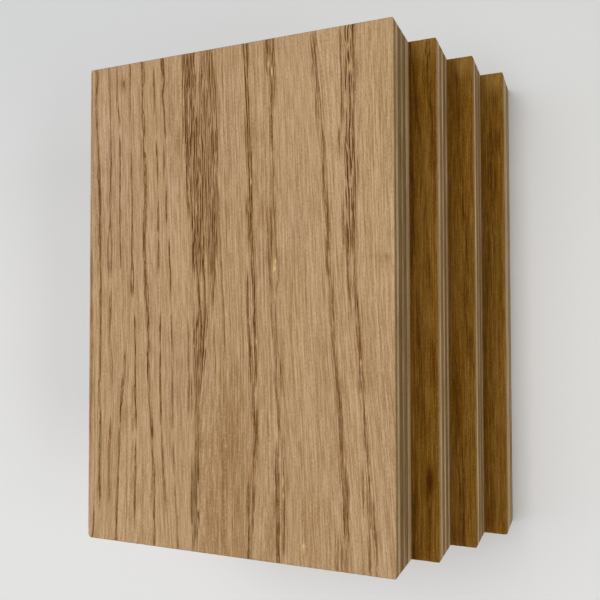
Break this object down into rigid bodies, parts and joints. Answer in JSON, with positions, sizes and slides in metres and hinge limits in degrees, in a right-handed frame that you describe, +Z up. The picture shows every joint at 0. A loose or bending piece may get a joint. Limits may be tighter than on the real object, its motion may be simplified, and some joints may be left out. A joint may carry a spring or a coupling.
{
  "type": "stack of plywood sheets",
  "caption": "Flat stack of small oak-veneered plywood blanks, each slid a little sideways so that its layered edge shows.",
  "frame": {"origin": "the middle of the stack's bounding box, on the surface that the stack lies on", "axes": "+X across the grain of the faces, the way each lower sheet is slid out; +Y along the sheets' length, which is the grain of the faces; +Z up, out of the top sheet's good face"},
  "size_m": [0.1226, 0.15, 0.072],
  "materials": {
    "oak_veneer": "matte",
    "long_grain_ply": "matte",
    "cross_grain_ply": "matte"
  },
  "bodies": {
    "root": {"sheet_1_face_veneer": "oak_veneer", "sheet_1_upper_crossband": "cross_grain_ply", "sheet_1_upper_long_ply": "long_grain_ply", "sheet_1_upper_cross_ply": "cross_grain_ply", "sheet_1_core_ply": "long_grain_ply", "sheet_1_lower_cross_ply": "cross_grain_ply", "sheet_1_lower_long_ply": "long_grain_ply", "sheet_1_lower_crossband": "cross_grain_ply", "sheet_1_back_veneer": "oak_veneer", "sheet_2_face_veneer": "oak_veneer", "sheet_2_upper_crossband": "cross_grain_ply", "sheet_2_upper_long_ply": "long_grain_ply", "sheet_2_upper_cross_ply": "cross_grain_ply", "sheet_2_core_ply": "long_grain_ply", "sheet_2_lower_cross_ply": "cross_grain_ply", "sheet_2_lower_long_ply": "long_grain_ply", "sheet_2_lower_crossband": "cross_grain_ply", "sheet_2_back_veneer": "oak_veneer", "sheet_3_face_veneer": "oak_veneer", "sheet_3_upper_crossband": "cross_grain_ply", "sheet_3_upper_long_ply": "long_grain_ply", "sheet_3_upper_cross_ply": "cross_grain_ply", "sheet_3_core_ply": "long_grain_ply", "sheet_3_lower_cross_ply": "cross_grain_ply", "sheet_3_lower_long_ply": "long_grain_ply", "sheet_3_lower_crossband": "cross_grain_ply", "sheet_3_back_veneer": "oak_veneer", "sheet_4_face_veneer": "oak_veneer", "sheet_4_upper_crossband": "cross_grain_ply", "sheet_4_upper_long_ply": "long_grain_ply", "sheet_4_upper_cross_ply": "cross_grain_ply", "sheet_4_core_ply": "long_grain_ply", "sheet_4_lower_cross_ply": "cross_grain_ply", "sheet_4_lower_long_ply": "long_grain_ply", "sheet_4_lower_crossband": "cross_grain_ply", "sheet_4_back_veneer": "oak_veneer"}
  },
  "joints": []
}
